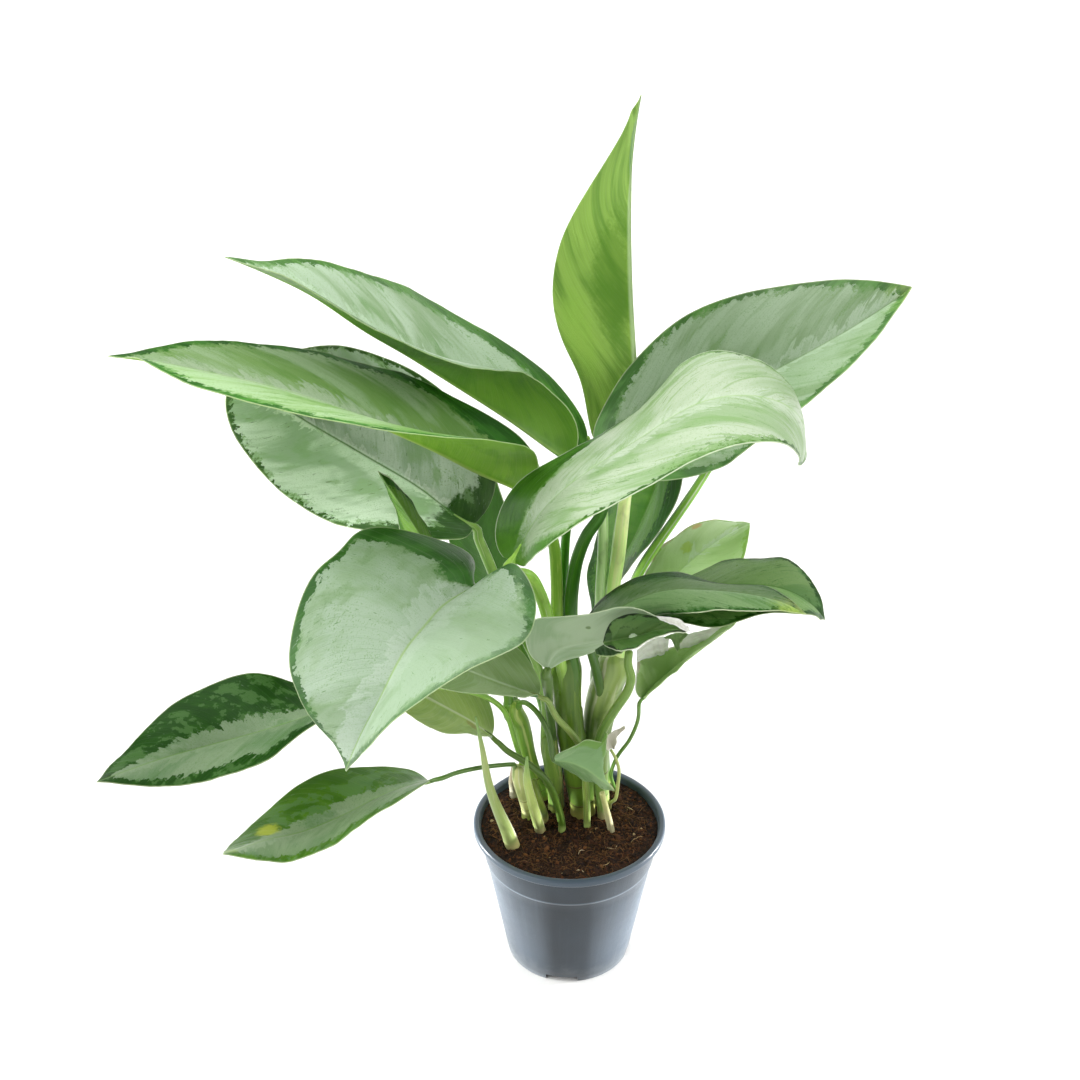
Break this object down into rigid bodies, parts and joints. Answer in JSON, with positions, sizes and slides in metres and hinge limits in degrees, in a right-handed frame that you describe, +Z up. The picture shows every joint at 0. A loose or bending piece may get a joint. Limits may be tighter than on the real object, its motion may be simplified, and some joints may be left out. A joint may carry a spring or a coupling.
{
  "type": "potted chinese evergreen",
  "caption": "Potted Chinese evergreen: arching silver and green variegated leaves on slender stalks, in a tapered round nursery pot filled with potting mix.",
  "frame": {"origin": "centre of the pot's underside, on the surface it stands on", "axes": "+Z up along the pot's axis, -Y towards the plant's front, +X to the right seen from the front"},
  "size_m": [0.4542, 0.3566, 0.5373],
  "materials": {
    "pot_plastic": "satin",
    "potting_mix": "matte",
    "leaf_blade": "satin",
    "petiole": "satin",
    "cane": "satin",
    "shoot": "satin",
    "dry_tissue": "matte"
  },
  "bodies": {
    "root": {"pot": "pot_plastic", "soil": "potting_mix", "cane_main": "cane", "cane_right": "cane", "cane_back": "cane", "cane_left": "cane", "cane_mid": "cane", "cane_fore": "cane", "petiole_left_mid": "petiole", "petiole_right_back": "petiole", "petiole_left_top": "petiole", "petiole_front_arch": "petiole", "petiole_top_upright": "petiole", "petiole_new_leaf": "petiole", "petiole_low_front": "petiole", "petiole_low_back": "petiole", "petiole_back_right": "petiole", "petiole_right_small": "petiole", "petiole_back_hanging": "petiole", "petiole_front_heart": "petiole", "petiole_spear": "petiole", "petiole_small_front": "petiole", "petiole_left_wide": "petiole", "petiole_center_curled": "petiole", "petiole_low_left_1": "petiole", "petiole_under_2": "petiole", "petiole_back_left": "petiole", "petiole_low_left_2": "petiole", "petiole_under_1": "petiole", "petiole_right_lower": "petiole", "stalk_dry": "shoot", "stalk_loop": "shoot", "dry_remnant": "dry_tissue", "stub_pale": "shoot", "sprout_front": "shoot", "sprout_mid": "shoot", "sprout_behind": "shoot", "sprout_pale_back": "shoot", "leaf_top_upright": "leaf_blade", "leaf_right_back": "leaf_blade", "leaf_front_arch": "leaf_blade", "leaf_left_top": "leaf_blade", "leaf_left_mid": "leaf_blade", "leaf_left_wide": "leaf_blade", "leaf_front_heart": "leaf_blade", "leaf_low_left_1": "leaf_blade", "leaf_low_left_2": "leaf_blade", "leaf_spear": "leaf_blade", "leaf_under_heart_1": "leaf_blade", "leaf_under_heart_2": "leaf_blade", "leaf_right_low_front": "leaf_blade", "leaf_right_low_back": "leaf_blade", "leaf_right_up_small": "leaf_blade", "leaf_center_curled": "leaf_blade", "leaf_center_small": "leaf_blade", "leaf_right_lower": "leaf_blade", "leaf_back_right": "leaf_blade", "leaf_small_front": "leaf_blade", "leaf_back_hanging": "leaf_blade", "leaf_back_left": "leaf_blade"}
  },
  "joints": []
}
